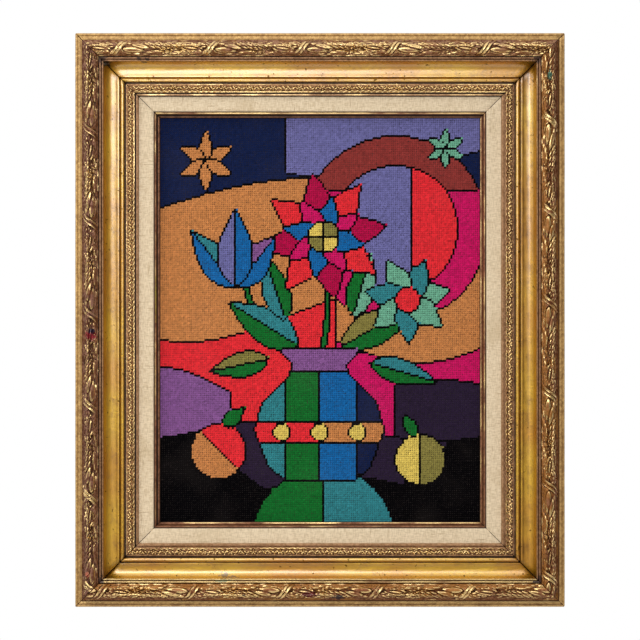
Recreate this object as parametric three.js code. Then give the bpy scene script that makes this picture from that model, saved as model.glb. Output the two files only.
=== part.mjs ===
// A framed needlepoint picture: a gilded wooden moulding with two pressed ornament strips,
// a linen-covered liner with a gilt slip, and the worked canvas stretched on its board.
// Millimetres, +Z up. The picture faces -Y and its back lies in the plane y = 0.
// The origin is on the flat back of the top member, where a hanger is screwed on.

import * as THREE from 'three';

// ---------- Driving dimensions ----------

// The needlework that shows: 152 by 192 tent stitches on canvas of 10 holes to the inch.
const STITCH = 2.54;
const STITCHES = { across: 152, up: 192 };

const MOULDING_WIDTH = 76.5;
const LINER_WIDTH = 25.5;

const PIECE_GAP = 0.3;
const ARC_STEPS = 8;

// Sections are drawn with u, the distance in from the frame's outer edge,
// and h, the height above the back.
const BAND = {
  lip: { from: 0, to: 6.3, height: 29.5, flat: 28.9, quirk: 3.5, step: 1.4 },
  leaf: { from: 8.2, to: 27.8, foot: 27, height: 45, outer: 30.5, inner: 36.5 },
  fillets: { from: 28.1, ledge: 29, height: 36, ledgeHeight: 33, width: 2, grooveAt: 31.7, groove: 33.6 },
  cove: { from: 34, to: 50.8, top: 34.8, end: 23.7, steepTo: [35.2, 24.2], shallowFrom: [41, 22.2] },
  step: { to: 52.8, rise: 1.1 },
  bead: { from: 54.3, to: 59.2, height: 26, quirkAt: 53.6, quirk: 22, floor: 23.2 },
  scroll: { from: 61.3, to: 71.3, foot: 24.3, height: 28.4, outer: 25.2, inner: 27.4 },
  sight: { from: 73.3, to: MOULDING_WIDTH, height: 24.8, groove: 22.8, flatTo: 75.1, edge: 21.9 },
};

const SIDE = { inset: 4, straight: 15 };
const LIP_BEAD_RADIUS = 1.7;
const RABBET = { width: 9, height: 21 };

const LINEN = { thickness: 1, turnDown: 4.8 };
const CORE = { clearance: 0.5, back: 1.5, ledge: 6.3, ledgeUnder: 11.3, edgeRadius: 1.5 };
const SLIP = {
  width: 6.9,
  tail: 7.6,
  tailTop: 11,
  under: 9,
  edge: 1.2,
  outerRidge: 19.4,
  grooveAt: 3.4,
  groove: 10.8,
  innerRidge: 11.6,
  ridgeRise: 1.5,
};
const CANVAS = { thickness: 2, margin: 14.5 };
const BOARD_THICKNESS = 5;

// ---------- Worked-out sizes ----------

const SIGHT_SIZE = { width: STITCH * STITCHES.across, height: STITCH * STITCHES.up };
const BORDER = MOULDING_WIDTH + LINER_WIDTH;
const WIDTH = SIGHT_SIZE.width + 2 * BORDER;
const HEIGHT = SIGHT_SIZE.height + 2 * BORDER;
const RABBET_WALL = MOULDING_WIDTH - RABBET.width;
const HANGER_BELOW_TOP = (SIDE.inset + RABBET_WALL) / 2;

// The linen's front face runs under the moulding's sight edge, and the core lies under the linen.
const LINEN_FRONT = RABBET.height - PIECE_GAP;
const LINEN_BACK = LINEN_FRONT - LINEN.thickness;
const CORE_FRONT = LINEN_BACK - PIECE_GAP;
const CORE_OUTER = RABBET_WALL + CORE.clearance;
const SLIP_OUTER = BORDER - SLIP.width;
const LINEN_SIGHT = SLIP_OUTER - PIECE_GAP;
const CORE_SIGHT = LINEN_SIGHT - LINEN.thickness - PIECE_GAP;
const CORE_RABBET_WALL = CORE_SIGHT - CORE.ledge;

const CANVAS_FRONT = SLIP.under - PIECE_GAP;
const CANVAS_BACK = CANVAS_FRONT - CANVAS.thickness;
const BOARD_FRONT = CANVAS_BACK - PIECE_GAP;

// ---------- Finishes ----------

function finish(color, roughness, metalness) {
  return () => new THREE.MeshStandardMaterial({ color, roughness, metalness });
}

const gildedWood = finish(0xc8954a, 0.38, 0.9);
const bronzedOrnament = finish(0x96703f, 0.5, 0.75);
const bareWood = finish(0xa98558, 0.8, 0);
const linenCloth = finish(0xd8c4a4, 0.95, 0);
const giltSlip = finish(0xa5843f, 0.42, 0.85);
const woolOnCanvas = finish(0x9a3540, 0.95, 0);
const fibreBoard = finish(0x8a6a48, 0.9, 0);

// ---------- Sections ----------

// The wooden moulding, with a seat for each of its two ornament strips.
function mouldingSection() {
  const { lip, leaf, fillets, cove, step, bead, scroll, sight } = BAND;
  const leafSeat = leaf.foot - PIECE_GAP;
  const scrollSeat = scroll.foot - PIECE_GAP;
  const lipBeadCentre = lip.height - LIP_BEAD_RADIUS;
  const lipStepEnd = leaf.from - PIECE_GAP;
  const section = new THREE.Shape();
  section.moveTo(SIDE.inset, 0);
  section.lineTo(SIDE.inset, SIDE.straight);
  section.quadraticCurveTo(SIDE.inset, lipBeadCentre - LIP_BEAD_RADIUS, lip.from, lipBeadCentre);
  section.absarc(LIP_BEAD_RADIUS, lipBeadCentre, LIP_BEAD_RADIUS, Math.PI, Math.PI / 4, true);
  section.lineTo(lip.quirk, lip.flat);
  section.lineTo(lip.to, lip.flat);
  section.lineTo(lipStepEnd, lip.flat + lip.step);
  section.lineTo(lipStepEnd, leafSeat);
  section.lineTo(fillets.from, leafSeat);
  section.lineTo(fillets.from, fillets.ledgeHeight);
  section.lineTo(fillets.ledge, fillets.ledgeHeight);
  section.lineTo(fillets.ledge, fillets.height);
  section.lineTo(fillets.ledge + fillets.width, fillets.height);
  section.lineTo(fillets.grooveAt, fillets.groove);
  section.lineTo(cove.from - fillets.width, fillets.height);
  section.lineTo(cove.from, fillets.height);
  section.lineTo(cove.from, cove.top);
  section.bezierCurveTo(...cove.steepTo, ...cove.shallowFrom, cove.to, cove.end);
  section.lineTo(cove.to, cove.end + step.rise);
  section.lineTo(step.to, cove.end + step.rise);
  section.lineTo(bead.quirkAt, bead.quirk);
  section.lineTo(bead.from, bead.quirk + step.rise);
  section.quadraticCurveTo(bead.from, bead.height, (bead.from + bead.to) / 2, bead.height);
  section.quadraticCurveTo(bead.to, bead.height, bead.to, bead.floor);
  section.lineTo(scroll.from - PIECE_GAP, bead.floor);
  section.lineTo(scroll.from - PIECE_GAP, scrollSeat);
  section.lineTo(scroll.to + PIECE_GAP, scrollSeat);
  section.lineTo(scroll.to + PIECE_GAP, sight.groove);
  section.lineTo(sight.from, sight.groove);
  section.lineTo(sight.from, sight.height);
  section.lineTo(sight.flatTo, sight.height);
  section.lineTo(sight.to, sight.edge);
  section.lineTo(sight.to, RABBET.height);
  section.lineTo(RABBET_WALL, RABBET.height);
  section.lineTo(RABBET_WALL, 0);
  return section;
}

// A pressed strip: a flat foot in the moulding's seat and a domed face, steep at both edges.
function stripSection({ from, to, foot, height, outer, inner }) {
  const crest = (from + to) / 2;
  const steepness = (to - from) / 9;
  const section = new THREE.Shape();
  section.moveTo(from, foot);
  section.lineTo(from, outer);
  section.quadraticCurveTo(from + steepness, height, crest, height);
  section.quadraticCurveTo(to - steepness, height, to, inner);
  section.lineTo(to, foot);
  return section;
}

// The liner's wooden core, with a ledge over the slip and the canvas.
function coreSection() {
  const edgeCentre = CORE_FRONT - CORE.edgeRadius;
  const section = new THREE.Shape();
  section.moveTo(CORE_OUTER, CORE.back);
  section.lineTo(CORE_OUTER, CORE_FRONT);
  section.lineTo(CORE_SIGHT - CORE.edgeRadius, CORE_FRONT);
  section.absarc(CORE_SIGHT - CORE.edgeRadius, edgeCentre, CORE.edgeRadius, Math.PI / 2, 0, true);
  section.lineTo(CORE_SIGHT, CORE.ledgeUnder);
  section.lineTo(CORE_RABBET_WALL, CORE.ledgeUnder);
  section.lineTo(CORE_RABBET_WALL, CORE.back);
  return section;
}

// The linen, glued over the core's face and turned down over its sight edge.
function linenSection() {
  const bend = CORE_SIGHT - CORE.edgeRadius;
  const edgeCentre = CORE_FRONT - CORE.edgeRadius;
  const innerRadius = CORE.edgeRadius + PIECE_GAP;
  const outerRadius = innerRadius + LINEN.thickness;
  const end = LINEN_FRONT - LINEN.turnDown;
  const section = new THREE.Shape();
  section.moveTo(CORE_OUTER, LINEN_BACK);
  section.lineTo(CORE_OUTER, LINEN_FRONT);
  section.lineTo(bend, LINEN_FRONT);
  section.absarc(bend, edgeCentre, outerRadius, Math.PI / 2, 0, true);
  section.lineTo(LINEN_SIGHT, end);
  section.lineTo(LINEN_SIGHT - LINEN.thickness, end);
  section.lineTo(LINEN_SIGHT - LINEN.thickness, edgeCentre);
  section.absarc(bend, edgeCentre, innerRadius, 0, Math.PI / 2, false);
  return section;
}

// The gilt slip: a thin tail under the liner, a tall ridge beside the linen
// and a small one that steps down to the canvas.
function slipSection() {
  const groove = SLIP_OUTER + SLIP.grooveAt;
  const section = new THREE.Shape();
  section.moveTo(SLIP_OUTER - SLIP.tail, SLIP.under);
  section.lineTo(SLIP_OUTER - SLIP.tail, SLIP.tailTop);
  section.lineTo(SLIP_OUTER, SLIP.tailTop);
  section.lineTo(SLIP_OUTER, SLIP.outerRidge - SLIP.edge);
  section.quadraticCurveTo(SLIP_OUTER, SLIP.outerRidge, SLIP_OUTER + SLIP.edge, SLIP.outerRidge);
  section.quadraticCurveTo(groove, SLIP.outerRidge, groove, SLIP.groove);
  section.quadraticCurveTo(groove, SLIP.innerRidge, groove + SLIP.ridgeRise, SLIP.innerRidge);
  section.quadraticCurveTo(BORDER, SLIP.innerRidge, BORDER, SLIP.under);
  return section;
}

// ---------- Pieces ----------

// A stick of one section, mitred at both ends. It lies along X with its outer edge up at z = 0,
// its back in the plane y = 0 and its face towards -Y.
function mitredStick(section, length) {
  const endShift = PIECE_GAP / Math.SQRT2;
  const geometry = new THREE.ExtrudeGeometry(section, {
    depth: 1,
    steps: 1,
    bevelEnabled: false,
    curveSegments: ARC_STEPS,
  });
  const position = geometry.attributes.position;
  for (let i = 0; i < position.count; i += 1) {
    const u = position.getX(i);
    const side = position.getZ(i) > 0.5 ? 1 : -1;
    position.setZ(i, side * (length / 2 - u - endShift));
  }
  const down = new THREE.Vector3(0, 0, -1);
  const forward = new THREE.Vector3(0, -1, 0);
  const along = new THREE.Vector3(-1, 0, 0);
  geometry.applyMatrix4(new THREE.Matrix4().makeBasis(down, forward, along));
  geometry.computeVertexNormals();
  return geometry;
}

// A flat panel that fills the opening left by the given border, between two heights.
function panel(border, back, front) {
  const geometry = new THREE.BoxGeometry(WIDTH - 2 * border, front - back, HEIGHT - 2 * border);
  geometry.translate(0, -(front + back) / 2, 0);
  return geometry;
}

const MEMBERS = [
  { side: 'top', length: WIDTH, reach: HEIGHT / 2, turn: 0 },
  { side: 'right', length: HEIGHT, reach: WIDTH / 2, turn: Math.PI / 2 },
  { side: 'bottom', length: WIDTH, reach: HEIGHT / 2, turn: Math.PI },
  { side: 'left', length: HEIGHT, reach: WIDTH / 2, turn: -Math.PI / 2 },
];

const STICKS = [
  { name: 'moulding', section: mouldingSection(), material: gildedWood },
  { name: 'leaf_strip', section: stripSection(BAND.leaf), material: bronzedOrnament },
  { name: 'scroll_strip', section: stripSection(BAND.scroll), material: bronzedOrnament },
  { name: 'liner', section: coreSection(), material: bareWood },
  { name: 'linen', section: linenSection(), material: linenCloth },
  { name: 'slip', section: slipSection(), material: giltSlip },
];

const PANELS = [
  { name: 'needlepoint', back: CANVAS_BACK, front: CANVAS_FRONT, material: woolOnCanvas },
  { name: 'board', back: BOARD_FRONT - BOARD_THICKNESS, front: BOARD_FRONT, material: fibreBoard },
];

function named(name, geometry, material) {
  const mesh = new THREE.Mesh(geometry, material());
  mesh.name = name;
  return mesh;
}

function member({ side, length, reach, turn }) {
  const rail = new THREE.Group();
  for (const { name, section, material } of STICKS) {
    const stick = named(`${name}_${side}`, mitredStick(section, length), material);
    stick.position.z = reach;
    rail.add(stick);
  }
  rail.rotation.y = turn;
  return rail;
}

const picture = new THREE.Group();
picture.name = 'framed_needlepoint';
picture.position.z = HANGER_BELOW_TOP - HEIGHT / 2;
for (const row of MEMBERS) {
  picture.add(member(row));
}
for (const { name, back, front, material } of PANELS) {
  picture.add(named(name, panel(BORDER - CANVAS.margin, back, front), material));
}

export default picture;
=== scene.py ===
# %% [markdown]
# # A framed needlepoint picture
#
# The picture is worked in wool tent stitch on open canvas and stretched on a board.
# Round it runs a thin gilt slip, a liner covered in linen, and a deep gilded moulding
# with two strips of pressed ornament: laurel leaves bound with crossed ribbons on the
# outside, and small scrolls next to the linen.
#
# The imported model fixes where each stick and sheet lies. This lesson builds the fine
# surfaces on those places: mouldings as sections swept along the four sides, ornament
# as relief on such a sweep, and the needlework as thousands of small yarn strands.

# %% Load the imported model
import bpy
import numpy as np
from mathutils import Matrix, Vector


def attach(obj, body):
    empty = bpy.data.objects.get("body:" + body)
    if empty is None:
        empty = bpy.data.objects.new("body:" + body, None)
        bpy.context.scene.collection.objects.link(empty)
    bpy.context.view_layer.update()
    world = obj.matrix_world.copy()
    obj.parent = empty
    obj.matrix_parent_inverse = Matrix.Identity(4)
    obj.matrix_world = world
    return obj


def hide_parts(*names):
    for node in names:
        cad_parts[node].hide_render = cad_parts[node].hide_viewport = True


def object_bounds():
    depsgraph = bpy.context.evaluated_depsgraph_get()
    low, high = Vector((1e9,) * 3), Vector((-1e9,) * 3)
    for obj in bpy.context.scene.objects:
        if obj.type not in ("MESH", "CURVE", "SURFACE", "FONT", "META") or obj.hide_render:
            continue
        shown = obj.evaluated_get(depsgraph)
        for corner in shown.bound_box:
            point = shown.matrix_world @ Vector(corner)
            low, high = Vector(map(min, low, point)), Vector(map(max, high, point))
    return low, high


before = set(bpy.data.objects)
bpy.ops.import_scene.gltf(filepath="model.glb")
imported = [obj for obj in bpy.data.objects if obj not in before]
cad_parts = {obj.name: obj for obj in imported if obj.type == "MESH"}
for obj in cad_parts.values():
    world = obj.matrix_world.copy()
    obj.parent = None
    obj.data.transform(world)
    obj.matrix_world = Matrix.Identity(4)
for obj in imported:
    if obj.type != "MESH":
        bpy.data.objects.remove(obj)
cad_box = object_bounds()
MM = 0.001
low, high = (np.array(corner) / MM for corner in cad_box)
WIDTH, HEIGHT = high[0] - low[0], high[2] - low[2]
MIDDLE = (high[2] + low[2]) / 2
chance = np.random.default_rng(7)
print(f"frame {WIDTH:.0f} x {HEIGHT:.0f} mm, {len(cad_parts)} nodes")

# %% [markdown]
# ## Camera
#
# The picture is looked at straight on, from far enough away that its recessed sides
# hardly show. A long lens then fills the view with it.

# %% Camera
VIEW_DISTANCE = 9
FRAMES_ACROSS = 1.3075
VIEW_WIDTH = WIDTH * FRAMES_ACROSS * MM
LIP_HEIGHT = 29.5

camera = bpy.data.objects.new("camera", bpy.data.cameras.new("camera"))
bpy.context.scene.collection.objects.link(camera)
bpy.context.scene.camera = camera
camera.location = (0, -VIEW_DISTANCE - LIP_HEIGHT * MM, MIDDLE * MM)
camera.rotation_euler = (np.pi / 2, 0, 0)
camera.data.lens = camera.data.sensor_width * VIEW_DISTANCE / VIEW_WIDTH
print(f"lens {camera.data.lens:.0f} mm")

# %% [markdown]
# ## Finding a place on the frame
#
# Every stick is cut from one long moulding, so one section serves all four sides. A
# point is given by three lengths in millimetres: along the side (clockwise, from its
# middle), inward from the frame's outer edge, and height above the flat back. A
# quarter turn clockwise takes one side's points to the next side.
#
# The leaf pattern was pressed in one long strip too, so it starts at another ribbon
# on each side. `first_ribbon` is how far the first one lies from the side's start.

# %% The four sides
SIDES = {
    "top": {"turns": 0, "length": WIDTH, "reach": HEIGHT / 2, "first_ribbon": 52.5},
    "right": {"turns": 1, "length": HEIGHT, "reach": WIDTH / 2, "first_ribbon": 104},
    "bottom": {"turns": 2, "length": WIDTH, "reach": HEIGHT / 2, "first_ribbon": 6.6},
    "left": {"turns": 3, "length": HEIGHT, "reach": WIDTH / 2, "first_ribbon": 21.4},
}


def place(side, along, inward, height):
    """World points in metres for a side's own lengths in millimetres."""
    out = SIDES[side]["reach"] - inward
    for _ in range(SIDES[side]["turns"]):
        along, out = out, -along
    return np.stack(np.broadcast_arrays(along, -height, out + MIDDLE), axis=-1) * MM


print("top left corner of the lip:", place("top", -WIDTH / 2, 0, LIP_HEIGHT).round(4))

# %% [markdown]
# ## Shader maths as plain expressions
#
# A material is a tree of nodes. Wiring each sum by hand hides what it means, so a
# small class wraps a socket: `a * b + 1` then adds the Math nodes by itself. Vectors
# go through Vector Math and colours through Mix, because a Math node would turn a
# colour grey. Every other node comes from `Recipe.node`.

# %% Wires and recipes
class Wire:
    """An output socket that can stand in a sum."""

    def __init__(self, recipe, socket):
        self.recipe = recipe
        self.socket = socket

    def sum(self, operation, first, second):
        kind = "VectorMath" if self.socket.type == "VECTOR" else "Math"
        return self.recipe.node(kind, {"operation": operation}, {0: first, 1: second})

    def __add__(self, other):
        return self.sum("ADD", self, other)

    def __sub__(self, other):
        return self.sum("SUBTRACT", self, other)

    def __rsub__(self, other):
        return self.sum("SUBTRACT", other, self)

    def __mul__(self, other):
        return self.sum("MULTIPLY", self, other)

    __radd__, __rmul__ = __add__, __mul__

    def most(self, other):
        return self.sum("MAXIMUM", self, other)

    def rise(self, start, end):
        """0 below start and 1 above end, with a smooth step between."""
        settings = {"interpolation_type": "SMOOTHSTEP"}
        return self.recipe.node("MapRange", settings, {0: self, 1: start, 2: end})


class Recipe:
    """A node tree, and one method that adds any node to it."""

    def __init__(self, tree):
        self.tree = tree

    def node(self, kind, settings, sockets, output=0):
        made = self.tree.nodes.new("ShaderNode" + kind)
        for name, value in settings.items():
            setattr(made, name, value)
        for name, value in sockets.items():
            self.feed(made.inputs[name], value)
        return Wire(self, made.outputs[output])

    def feed(self, socket, value):
        if isinstance(value, Wire):
            self.tree.links.new(value.socket, socket)
        elif socket.type == "RGBA":
            socket.default_value = (*value, 1)
        else:
            socket.default_value = value

    def mix(self, first, second, amount):
        """The first colour, turned into the second by amount."""
        return self.node("Mix", {"data_type": "RGBA"}, {0: amount, 6: first, 7: second}, 2)

    def place(self):
        return self.node("TexCoord", {}, {}, "Object")

    def noise(self, vector, scale, detail=3):
        return self.node("TexNoise", {}, {"Vector": vector, "Scale": scale, "Detail": detail})

    def attribute(self, name, output="Fac"):
        return self.node("Attribute", {"attribute_name": name}, {}, output)

    def bump(self, height, millimetres):
        return self.node("Bump", {}, {"Height": height, "Distance": millimetres * MM})


class Finish(Recipe):
    """The recipe of a material with one Principled shader."""

    def __init__(self, name, **constants):
        self.material = bpy.data.materials.new(name)
        self.material.use_nodes = True
        super().__init__(self.material.node_tree)
        self.shader = self.tree.nodes["Principled BSDF"]
        self.wear(**constants)

    def wear(self, **sockets):
        """Set or link the shader's sockets, named with _ for a space."""
        for name, value in sockets.items():
            self.feed(self.shader.inputs[name.replace("_", " ")], value)
        return self.material


def tint(red, green, blue):
    """A colour named by its screen values from 0 to 255, as linear light."""
    share = np.array([red, green, blue]) / 255
    light = np.where(share <= 0.04045, share / 12.92, ((share + 0.055) / 1.055) ** 2.4)
    return tuple(float(x) for x in light)


print("linen colour in linear light:", [round(x, 3) for x in tint(218, 197, 168)])

# %% [markdown]
# ## Light
#
# Gilding shows what it reflects, so the studio matters as much as the gold. A small,
# bright softbox stands close in front, nearly in the middle and sixteen degrees up: it
# draws the bright bands along the hollows. A larger and weaker one stands well to the
# left, a little higher, and softens the shadows. The room between them is dark at eye
# level, so that the hollows stay amber, and pale overhead and near the floor. Behind
# the picture the room is white, for the camera and for glancing reflections.

# %% Studio room, softboxes and floor
ROOM = {"eye_level": 0.05, "above": 1.05, "below": 0.3}
SOFTBOXES = {
    "middle": {"size": (0.64, 0.54), "radiance": 8, "at": (-0.2, -1.45, 0.42)},
    "left": {"size": (1.3, 0.9), "radiance": 2.9, "at": (-1.5, -1.05, 0.75)},
}
FLOOR = {"radius": 1.2, "drop": 0.35, "colour": tint(214, 212, 208)}

world = bpy.data.worlds.new("studio")
bpy.context.scene.world = world
world.use_nodes = True
room = Recipe(world.node_tree)
direction = room.node("TexCoord", {}, {}, "Generated")
backward, upward = (room.node("SeparateXYZ", {}, {0: direction}, axis) for axis in "YZ")
overhead = upward.rise(0.15, 0.55) * (ROOM["above"] - ROOM["eye_level"])
underfoot = (0 - upward).rise(0.12, 0.6) * (ROOM["below"] - ROOM["eye_level"])
kinds = ("Camera", "Glossy", "Transmission")
rays = [room.node("LightPath", {}, {}, f"Is {kind} Ray") for kind in kinds]
camera_ray, glossy_ray, clear_ray = rays
behind = backward.rise(0, 0.3)
seen_white = camera_ray.most((glossy_ray + clear_ray) * behind)
background = world.node_tree.nodes["Background"]
room.feed(background.inputs["Color"], (1, 1, 1))
level = (overhead + underfoot + ROOM["eye_level"]) * (1 - seen_white) + seen_white
room.feed(background.inputs["Strength"], level)


def softbox(name, size, radiance, at):
    """A soft lamp that faces the middle of the picture from a place in front of it."""
    lamp = bpy.data.lights.new(f"{name}_softbox", "AREA")
    lamp.shape = "RECTANGLE"
    lamp.size, lamp.size_y = size
    lamp.energy = radiance * np.pi * lamp.size * lamp.size_y
    stand = bpy.data.objects.new(lamp.name, lamp)
    bpy.context.scene.collection.objects.link(stand)
    stand.location = Vector((0, 0, MIDDLE * MM)) + Vector(at)
    stand.rotation_euler = Vector(at).to_track_quat("Z", "Y").to_euler()
    return lamp


for name, row in SOFTBOXES.items():
    print(name, f"softbox {softbox(name, **row).energy:.1f} W")

bpy.ops.mesh.primitive_circle_add(vertices=96, radius=FLOOR["radius"], fill_type="NGON")
floor = bpy.context.object
floor.name = "floor"
floor.location = (0, 0, low[2] * MM - FLOOR["drop"])
floor.data.materials.append(Finish("floor", Base_Color=FLOOR["colour"], Roughness=0.9).material)

bpy.context.scene.view_settings.view_transform = "Standard"
print("floor", FLOOR["drop"], "m under the frame")

# %% [markdown]
# ## Old gilding
#
# Gold leaf is laid over a reddish clay, and a century of dusting changes it in three
# ways: the leaf wears thin on what stands proud, so the clay glows through; dirt
# collects in what lies hollow, where shade is painted as well; and small knocks leave
# dark specks. The meshes carry two measures, of what stands proud and of what lies
# hollow, worked out from their own shape and from a table for each stick, and the
# recipe reads them. The tables also paint shade on some bands and sticks, and highlight
# on others. Gold is a metal, so its colour is the colour of its reflections.
#
# Only the hollow and the bead show plain gold. The rest was washed with brown bronze
# paint and wiped while it was wet, so that gold glints just on what stands proud.
#
# Some marks stand alone: a chip at one mitre, a spot of red paint, a green stain, and
# dirt in the corners. Each is a ragged spot at a place given like any other, along a
# side and inward, with half its length and half its width.

# %% Marks of age
CORNER_DIRT = tint(78, 54, 42)
SPOT_COVERS = 0.92
HOLLOW_MARKS = [
    ("top", -258, 36.5, (6, 3.4), tint(70, 54, 42)),
    ("top", -258, 37.2, (4.4, 1.1), tint(206, 198, 190)),
    ("top", -254, 39.6, (3, 0.9), tint(66, 50, 38)),
    ("bottom", 115, 38, (6, 4), tint(140, 114, 74)),
    ("bottom", 106, 35.8, (9, 1.8), tint(150, 118, 84)),
    ("top", -212, 35, (4, 1.2), tint(74, 48, 32)),
]
FILLET_MARKS = [
    ("bottom", 117, 31.8, (9, 1.8), tint(160, 160, 118)),
    ("top", -218, 31, (3, 2.2), tint(52, 34, 26)),
    ("top", -208, 31.6, (3.4, 1.8), tint(58, 38, 28)),
]
SLIP_MARKS = [("left", 27, 96.8, (27, 0.8), tint(150, 138, 48))]
LEAF_MARKS = [
    ("left", -18, 19.5, (6, 7), tint(136, 14, 32)),
    ("left", -13, 20, (3.2, 5), tint(30, 20, 48)),
    ("left", -306, 15, (3.4, 2.8), tint(206, 120, 92)),
    ("bottom", 12, 15.5, (10, 3.4), tint(112, 18, 26)),
    ("bottom", -22, 12, (7, 3), tint(38, 20, 30)),
    ("bottom", 92, 14.5, (1.6, 1.2), tint(30, 18, 14)),
    ("right", -295, 18.5, (6, 3), tint(92, 134, 112)),
]
for side, row in SIDES.items():
    mitre = row["length"] / 2 - 31
    FILLET_MARKS += [(side, end, 30.5, (8, 4), CORNER_DIRT) for end in (-mitre, mitre)]


def marked(recipe, at, colour, marks):
    """The colour with a ragged spot for each (side, along, inward, half sizes, colour)."""
    ragged = (recipe.noise(at, 330, 4) - 0.5) * 3.2
    for side, along, inward, sizes, spot in marks:
        across, up = sizes if SIDES[side]["turns"] % 2 == 0 else sizes[::-1]
        offset = at - tuple(place(side, along, inward, 0))
        stretched = offset * (1 / across / MM, 0, 1 / up / MM)
        away = recipe.node("VectorMath", {"operation": "LENGTH"}, {0: stretched}, 1)
        covered = SPOT_COVERS - (away + ragged).rise(0.7, 1.1) * SPOT_COVERS
        colour = recipe.mix(colour, spot, covered)
    return colour


print("marks:", len(HOLLOW_MARKS), len(FILLET_MARKS), len(LEAF_MARKS))

# %% Gold finishes
GOLD = {
    "leaf": tint(220, 173, 24),
    "deep": tint(204, 144, 8),
    "clay": tint(176, 122, 44),
    "wiped_and_highlight": tint(243, 204, 128),
    # Dark colour for dirt, for specks and for painted shade.
    "dirt_and_shade": tint(74, 38, 8),
}


def gilding(name, age):
    gold = Finish(name, Coat_Roughness=0.31, Coat_IOR=2.1)
    at = gold.place()
    patch = gold.noise(at, 75, 5)
    grain = gold.noise(at, 650, 2)
    mottle = gold.noise(at, 260, 4)
    speck = gold.noise(at, 210, 2).rise(0.66, 0.72)
    leaf = gold.mix(GOLD["leaf"], GOLD["deep"], gold.noise(at, 14).rise(0.35, 0.7))
    rubbed = (gold.attribute("proud") + patch - 0.5).rise(0.35, 0.85) * 0.3
    # Dark where dirt collects in hollows, and painted shade where a table darkens a band.
    dirt_and_shade = (gold.attribute("hollow") + (patch - 0.5) * 0.35).rise(0.2, 0.75)
    colour = gold.mix(leaf, GOLD["clay"], rubbed + (patch + mottle).rise(1, 1.3) * 0.4)
    colour = gold.mix(colour, GOLD["dirt_and_shade"], dirt_and_shade.most(speck * 0.8))
    dull = mottle * 0.14 + dirt_and_shade * 0.25 + patch * 0.08
    return gold.wear(
        Base_Color=marked(gold, at, colour, age),
        Metallic=1 - dirt_and_shade * 0.6 - speck * 0.5,
        Roughness=0.44 + dull - gold.attribute("proud") * 0.16,
        Coat_Weight=1 - dirt_and_shade.most(speck),
        Normal=gold.bump(grain * 0.2 + mottle + patch, 0.5),
    )


def bronzed(name, leaf_shows, paint, dark, age=(), amber_and_reflection_inside=0):
    """Washed with bronze paint in two tints, then rubbed back so that the gold shows on top."""
    wash = Finish(name, Coat_Roughness=0.32, Coat_IOR=1.9)
    at = wash.place()
    patch = wash.noise(at, 90, 5)
    grain = wash.noise(at, 800, 2)
    mottle = wash.noise(at, 280, 3)
    uneven = (patch - 0.5) * 0.5 + (wash.noise(at, 26, 2) - 0.5) * 1.4
    # Gold shows on what stands proud, and as painted highlight where a table brightens a band.
    wiped_and_highlight = (wash.attribute("proud") + uneven).rise(leaf_shows, leaf_shows + 0.45)
    # The dark colour is dirt in hollows and painted shade where a table darkens a band.
    dirt_and_shade = (wash.attribute("hollow") + (patch - 0.5) * 0.4).rise(0.4, 1.05)
    painted = wash.mix(*paint, (patch + mottle * 2).rise(1.2, 1.8))
    # Amber on the strip's inner flank is a painted reflection of the gilding beside it; the noise
    # adds amber patches of random tone.
    amber = (wash.attribute("inner") + uneven * 0.4).rise(0.62, 0.8)
    amber = amber.most(wash.noise(at, 38, 2).rise(0.52, 0.62)) * amber_and_reflection_inside
    painted = wash.mix(painted, tint(166, 110, 44), amber)
    colour = wash.mix(painted, GOLD["wiped_and_highlight"], wiped_and_highlight)
    return wash.wear(
        Base_Color=marked(wash, at, wash.mix(colour, dark, dirt_and_shade), age),
        Metallic=0.45 + wiped_and_highlight * 0.5 - dirt_and_shade * 0.4,
        Roughness=0.46 - wiped_and_highlight * 0.14 + dirt_and_shade * 0.2 + grain * 0.08,
        Coat_Weight=wiped_and_highlight * 0.8,
        Normal=wash.bump(grain * 0.3 + mottle, 0.35),
    )


UMBER = (tint(158, 114, 86), tint(110, 62, 30))
AMBER = (tint(150, 99, 62), tint(112, 56, 12))
MAUVE = (tint(140, 97, 76), tint(98, 51, 27))
SCROLL_GOLD = (tint(178, 132, 88), tint(138, 94, 56))
BROWN_GOLD = (tint(160, 118, 80), tint(128, 88, 56))
PINK_GOLD = (tint(180, 138, 100), tint(150, 110, 72))
DARK_UMBER = (tint(146, 98, 66), tint(110, 66, 40))
DULL_GOLD = (tint(210, 170, 106), tint(174, 134, 80))
# Dark colours for dirt and for painted shade in grooves and recesses.
SOOT_AND_SHADE, DUSK_DIRT_AND_SHADE, OLD_VARNISH_AND_SHADE = tint(44, 25, 9), tint(66, 33, 8), tint(98, 58, 20)
MATERIALS = {
    "gilding": gilding("aged_gilding", HOLLOW_MARKS),
    "lip gilding": bronzed("dull_lip_gilding", 0.6, DULL_GOLD, OLD_VARNISH_AND_SHADE),
    "washed gold": bronzed("washed_gilding", 0.5, BROWN_GOLD, SOOT_AND_SHADE, FILLET_MARKS),
    "sight gold": bronzed("washed_sight_gilding", 0.8, PINK_GOLD, SOOT_AND_SHADE),
    # The last number is how much amber lies on the inner flank, a painted reflection that is
    # strongest on the right and bottom strips.
    "leaf bronze": bronzed("leaf_strip_bronze", 0.45, UMBER, DUSK_DIRT_AND_SHADE, LEAF_MARKS, 0.3),
    "amber leaf bronze": bronzed("leaf_strip_amber_bronze", 0.5, AMBER, DUSK_DIRT_AND_SHADE, LEAF_MARKS, 0.7),
    "mauve leaf bronze": bronzed("leaf_strip_mauve_bronze", 0.5, MAUVE, DUSK_DIRT_AND_SHADE, LEAF_MARKS, 0.2),
    "scroll bronze": bronzed("scroll_strip_bronze", 0.35, SCROLL_GOLD, DUSK_DIRT_AND_SHADE),
    "slip bronze": bronzed("slip_bronze", 0.5, DARK_UMBER, SOOT_AND_SHADE, SLIP_MARKS),
}
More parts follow.
